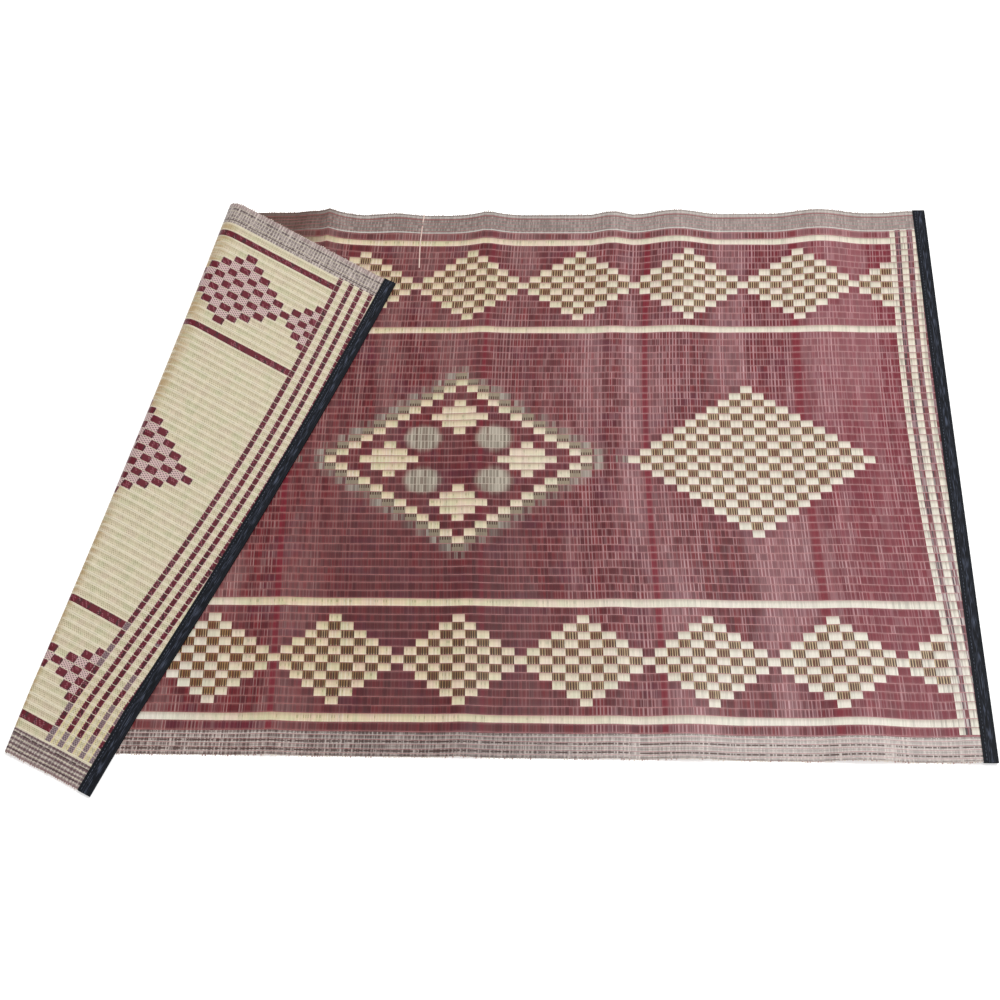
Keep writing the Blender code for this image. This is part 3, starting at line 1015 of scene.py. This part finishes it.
def thread_tree(name, material):
    """A flat thread along every line of a mesh."""
    inputs = {"Width": "NodeSocketFloat", "Height": "NodeSocketFloat", "Sides": "NodeSocketInt"}
    nodes, given = new_geometry_tree(name, inputs)
    line = nodes.node("GeometryNodeMeshToCurve", None, {"Mesh": given["Geometry"]})
    circle = {"Resolution": given["Sides"], "Radius": 0.5}
    ring = nodes.node("GeometryNodeCurvePrimitiveCircle", None, circle)
    scale = nodes.node("ShaderNodeCombineXYZ", None, {0: given["Width"], 1: given["Height"], 2: 1.0})
    section = nodes.node("GeometryNodeTransform", None, {"Geometry": ring, "Scale": scale})
    sockets = {"Curve": line, "Profile Curve": section, "Fill Caps": True}
    return end_tree(nodes, nodes.node("GeometryNodeCurveToMesh", None, sockets), material)


def set_out_tree(name, make_shape, material):
    """A small shape at every point, its length along the point's "along" and its top to its "out"."""
    inputs = {"Length": "NodeSocketFloat", "Width": "NodeSocketFloat", "Height": "NodeSocketFloat",
              "Uneven": "NodeSocketFloat", "Skew": "NodeSocketFloat", "Seed": "NodeSocketInt"}
    nodes, given = new_geometry_tree(name, inputs)

    def random(low, high, seed):
        sockets = {2: low, 3: high, "Seed": seed}
        return nodes.node("FunctionNodeRandomValue", {"data_type": "FLOAT"}, sockets, 1)

    def vector(label):
        settings = {"data_type": "FLOAT_VECTOR"}
        return nodes.node("GeometryNodeInputNamedAttribute", settings, {"Name": label})

    sockets = {"Vector": vector("along")}
    turn = nodes.node("FunctionNodeAlignRotationToVector", {"axis": "X"}, sockets)
    sockets = {"Rotation": turn, "Vector": vector("out")}
    turn = nodes.node("FunctionNodeAlignRotationToVector", {"axis": "Z", "pivot_axis": "X"}, sockets)
    sockets = {"Axis": (0.0, 0.0, 1.0), "Angle": random(given["Skew"] * -1.0, given["Skew"], given["Seed"])}
    spin = nodes.node("FunctionNodeAxisAngleToRotation", None, sockets)
    turn = nodes.node("FunctionNodeRotateRotation", {"rotation_space": "LOCAL"}, {0: turn, 1: spin})
    even = random(1.0 - given["Uneven"], 1.0 + given["Uneven"], given["Seed"] + 1.0)
    sockets = {0: given["Length"] * even, 1: given["Width"], 2: given["Height"]}
    size = nodes.node("ShaderNodeCombineXYZ", None, sockets)
    sockets = {"Points": given["Geometry"], "Instance": make_shape(nodes), "Rotation": turn, "Scale": size}
    placed = nodes.node("GeometryNodeInstanceOnPoints", None, sockets)
    settings = {"data_type": "FLOAT", "domain": "INSTANCE"}
    sockets = {"Geometry": placed, "Name": "tone", "Value": random(0.0, 1.0, given["Seed"] + 2.0)}
    return end_tree(nodes, nodes.node("GeometryNodeStoreNamedAttribute", settings, sockets), material)


def bead(nodes):
    """A small ball of unit size, stretched into a stitch where it is set out."""
    sockets = {"Segments": 8, "Rings": 4, "Radius": 0.5}
    return nodes.node("GeometryNodeMeshUVSphere", None, sockets)


def stub(nodes):
    """A short six-sided straw of unit size that starts at its point."""
    sockets = {"Vertices": 6, "Side Segments": 1, "Fill Segments": 1, "Radius": 0.5, "Depth": 1.0}
    rod = nodes.node("GeometryNodeMeshCylinder", None, sockets)
    turned = {"Geometry": rod, "Translation": (0.5, 0.0, 0.0), "Rotation": (0.0, math.pi / 2, 0.0)}
    return nodes.node("GeometryNodeTransform", None, turned)


# A warp thread lies between every two rows out to this one, and closer ones in the selvedges
WHOLE_ROWS = 35
SELVEDGE_ROWS = np.array([35.0, 35.5, 36.0, 36.5, 37.0])


def make_threads(name, side, material):
    """The warp threads on one side of the sheet, 1 for its face and -1 for its reverse."""
    between = np.arange(-WHOLE_ROWS, WHOLE_ROWS) + 0.5
    rows = np.sort(np.concatenate([between, SELVEDGE_ROWS, -SELVEDGE_ROWS]))[:, None]
    u = mesh_lines(np.clip(rows[:, 0] * ROW, -WIDTH / 2, WIDTH / 2))
    v = row_place(u, rows)
    seat = side * (THICKNESS / 2 - ROW_CROWN + THREAD_SEAT)
    mesh = lines_mesh(name, lie(u, v, seat + 0 * u))
    add_attributes(mesh, column=chart_column(u, v), row=rows + 0 * u)
    tree = thread_tree("Warp threads", material)
    return grown(name, mesh, tree, Width=THREAD_WIDTH, Height=THREAD_HEIGHT, Sides=4)


# A loose straw that lies on the face and goes under near the back edge: (u, v, above) along it
LOOSE_STRAW = ((-0.1018, 0.468, 0.0), (-0.1030, 0.500, 1.0), (-0.1037, 0.528, 1.0), (-0.1032, 0.548, 1.0),
               (-0.1026, 0.564, 1.0), (-0.1023, 0.576, 0.6), (-0.1020, 0.583, -1.0), (-0.1017, 0.590, -1.0),
               (-0.1013, 0.596, 0.6), (-0.1008, 0.603, 1.0), (-0.1003, 0.6095, 1.0), (-0.1000, 0.6115, 0.6))
LOOSE_WIDTH = 0.0026
LOOSE_HEIGHT = 0.0008


def make_loose_straw(material):
    u, v, above = np.array(LOOSE_STRAW).T
    seat = THICKNESS / 2 + above * (THREAD_SEAT + THREAD_HEIGHT / 2)
    mesh = lines_mesh("loose_straw", lie(u, v, seat))
    tree = thread_tree("Loose straw", material)
    return grown("loose_straw", mesh, tree, Width=LOOSE_WIDTH, Height=LOOSE_HEIGHT, Sides=8)


# Both edges or both sides of the mat, as a column that spreads over what lies along them
BOTH = np.array([[-1.0], [1.0]])
STRAW_END_PITCH = COLUMN / 5
STRAW_END_ROOT = 0.001


def make_straw_ends(material):
    """The cut ends of the straws, which stand a little out of both selvedges."""
    places = np.arange(-SHEET_END + TAPE_WIDTH, SHEET_END - TAPE_WIDTH, STRAW_END_PITCH)
    u, v = np.broadcast_arrays(places, BOTH * WIDTH / 2)
    _, across, normal = directions(u, v)
    mesh = new_mesh("straw_ends", lie(u, v - BOTH * STRAW_END_ROOT, 0 * u))
    add_attributes(mesh, "FLOAT_VECTOR", along=across * BOTH[..., None], out=normal)
    tree = set_out_tree("Straw ends", stub, material)
    return grown("straw_ends", mesh, tree, Length=0.0026, Width=0.0026, Height=0.0013,
                 Uneven=0.5, Skew=0.25, Seed=4)


RIB_DEPTH = 0.00010
RIB_PITCH = 0.0021
TAPE_FLAT_STEPS = 44
TAPE_TURN_STEPS = 9
TAPE_STEPS = 160


def tape_section():
    """The right tape's cross-section as (u, above): over the sheet, round its end and back under."""
    seat = THICKNESS / 2 + TAPE_GAP + TAPE_THICKNESS / 2
    nose = LENGTH / 2 - TAPE_THICKNESS / 2 - seat
    flat = np.linspace(LENGTH / 2 - TAPE_WIDTH, nose, TAPE_FLAT_STEPS, endpoint=False)
    angles = np.linspace(math.pi / 2, -math.pi / 2, TAPE_TURN_STEPS)
    u = np.concatenate([flat, nose + seat * np.cos(angles), flat[::-1]])
    above = np.concatenate([0 * flat + seat, seat * np.sin(angles), 0 * flat - seat])
    line = np.stack([u, above], -1)
    run = np.gradient(line, axis=0)
    run /= np.linalg.norm(run, axis=1, keepdims=True)
    out = np.stack([-run[:, 1], run[:, 0]], -1)
    rib = RIB_DEPTH * np.cos(2 * math.pi * (u - nose) / RIB_PITCH) - RIB_DEPTH
    outer = line + out * (TAPE_THICKNESS / 2 + rib[:, None])
    inner = line - out * (TAPE_THICKNESS / 2)
    return np.concatenate([outer, inner[::-1]])


def make_tape(name, side, material):
    """A ribbed tape folded over one short end; side is 1 at the right end and -1 at the folded one."""
    section = tape_section()
    along = np.linspace(-WIDTH / 2 - TAPE_OVERHANG, WIDTH / 2 + TAPE_OVERHANG, TAPE_STEPS + 1)
    u, v, above = np.broadcast_arrays(side * section[:, :1], along, section[:, 1:])
    index = np.arange(u.size).reshape(u.shape)
    half = len(section) // 2
    faces = [grid_faces(np.vstack([index, index[:1]]))]
    for end in (0, TAPE_STEPS):
        outer, inner = index[:half, end], index[half:, end][::-1]
        faces.append(np.stack([outer[:-1], outer[1:], inner[1:], inner[:-1]], -1))
    mesh = new_mesh(name, lie(u, v, above), faces=np.concatenate(faces))
    mesh.shade_smooth()
    mesh.materials.append(material)
    add_attributes(mesh, across=LENGTH / 2 - abs(u), along=v)
    bm = bmesh.new()
    bm.from_mesh(mesh)
    bmesh.ops.recalc_face_normals(bm, faces=bm.faces)
    bm.to_mesh(mesh)
    bm.free()
    mesh.set_sharp_from_angle(angle=math.radians(50))
    return new_piece(name, mesh)


STITCH_PITCH = 0.0072
# How far the seam is from the tape's inner edge, and its first and last stitch from the tape's ends
STITCH_IN = 0.0055
SEAM_ENDS = (0.004, 0.003)


def make_stitches(name, side, material):
    """The seam along a tape's inner edge, on both sides of the mat."""
    places = np.arange(-WIDTH / 2 + SEAM_ENDS[0], WIDTH / 2 - SEAM_ENDS[1], STITCH_PITCH)
    u, v = np.broadcast_arrays(side * (LENGTH / 2 - TAPE_WIDTH + STITCH_IN) + 0 * BOTH, places)
    _, across, normal = directions(u, v)
    seat = BOTH * (THICKNESS / 2 + TAPE_GAP + TAPE_THICKNESS)
    mesh = new_mesh(name, lie(u, v, seat + 0 * u))
    add_attributes(mesh, "FLOAT_VECTOR", along=across, out=normal * BOTH[..., None])
    tree = set_out_tree("Binding seam", bead, material)
    return grown(name, mesh, tree, Length=0.0052, Width=0.0008, Height=0.0006,
                 Uneven=0.12, Skew=0.06, Seed=9)


FLOOR_HALF = 15.0
FLOOR_GAP = 0.0002
FLOOR_GLOW = 0.45


def make_floor():
    """A pale floor, wide enough to fill the photograph's view."""
    bm = bmesh.new()
    bmesh.ops.create_grid(bm, x_segments=1, y_segments=1, size=FLOOR_HALF)
    mesh = bpy.data.meshes.new("floor")
    bm.to_mesh(mesh)
    bm.free()
    nodes = MaterialNodes("Pale floor", 0.9)
    x, y = nodes.object_place()
    uneven = nodes.cloud(x * 3.0, y * 3.0)
    nodes.inputs["Emission Color"].default_value = (1.0, 1.0, 1.0, 1.0)
    nodes.inputs["Emission Strength"].default_value = FLOOR_GLOW
    mesh.materials.append(nodes.with_color(nodes.mix(uneven, paint(250, 250, 250), paint(252, 252, 252))))
    floor = new_piece("floor", mesh)
    floor.location.z = -FLOOR_GAP


# A soft white room, and a window light high on the right whose gloss pales the mat's right half
ROOM_STRENGTH = 0.45
WINDOW_PLACE = Vector((2.32, 1.30, 5.85))
WINDOW_TARGET = Vector((0.45, 0.0, 0.0))
WINDOW_SIZE = 3.4
WINDOW_POWER = 262.0


def light_scene():
    world = bpy.data.worlds.new("Soft white room")
    world.use_nodes = True
    world.node_tree.nodes["Background"].inputs["Color"].default_value = (1.0, 1.0, 1.0, 1.0)
    world.node_tree.nodes["Background"].inputs["Strength"].default_value = ROOM_STRENGTH
    bpy.context.scene.world = world
    bpy.context.scene.view_settings.view_transform = "Standard"
    data = bpy.data.lights.new("window light", "AREA")
    data.shape = "SQUARE"
    data.size = WINDOW_SIZE
    data.energy = WINDOW_POWER
    light = new_piece("window light", data)
    light.location = WINDOW_PLACE
    light.rotation_euler = (WINDOW_TARGET - WINDOW_PLACE).to_track_quat("-Z", "Y").to_euler()


# The photograph's camera: place in the flat mat's frame, turn, tilt and roll in degrees, lens in mm
CAMERA_PLACE = (0.2642, -1.8898, 2.6624)
CAMERA_TURN = 5.849
CAMERA_TILT = 55.839
CAMERA_ROLL = 4.667
CAMERA_LENS = 63.43


def place_camera():
    data = bpy.data.cameras.new("camera")
    data.sensor_width = 36.0
    data.lens = CAMERA_LENS
    camera = new_piece("camera", data)
    matrix = Matrix.Translation(Vector(CAMERA_PLACE) + Vector(ORIGIN))
    for angle, axis in ((CAMERA_TURN, "Z"), (-CAMERA_TILT, "X"), (CAMERA_ROLL, "Y"), (90.0, "X")):
        matrix = matrix @ Matrix.Rotation(math.radians(angle), 4, axis)
    camera.matrix_world = matrix
    bpy.context.scene.camera = camera


def dress_mat():
    """Makes every piece of the mat and ties it to the frame."""
    tape = tape_material()
    stitch = stitch_material()
    face_thread = thread_material("Face warp thread", *FACE_THREAD)
    reverse_thread = thread_material("Reverse warp thread", *REVERSE_THREAD)
    sheet = make_sheet([face_material(), reverse_material()])
    threads = [make_threads("warp_threads_face", 1, face_thread),
               make_threads("warp_threads_reverse", -1, reverse_thread)]
    ends = make_straw_ends(straw_end_material())
    loose = make_loose_straw(loose_straw_material())
    tapes = [make_tape("tape_right", 1, tape), make_tape("tape_folded", -1, tape)]
    seams = [make_stitches("seam_right", 1, stitch), make_stitches("seam_folded", -1, stitch)]
    for piece in (sheet, *threads, ends, loose):
        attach(piece, "root")
    for piece in (*tapes, *seams):
        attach(piece, "root")
    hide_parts("mat_sheet")
    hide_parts("binding_right")
    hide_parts("binding_folded")


light_scene()
place_camera()
make_floor()
dress_mat()
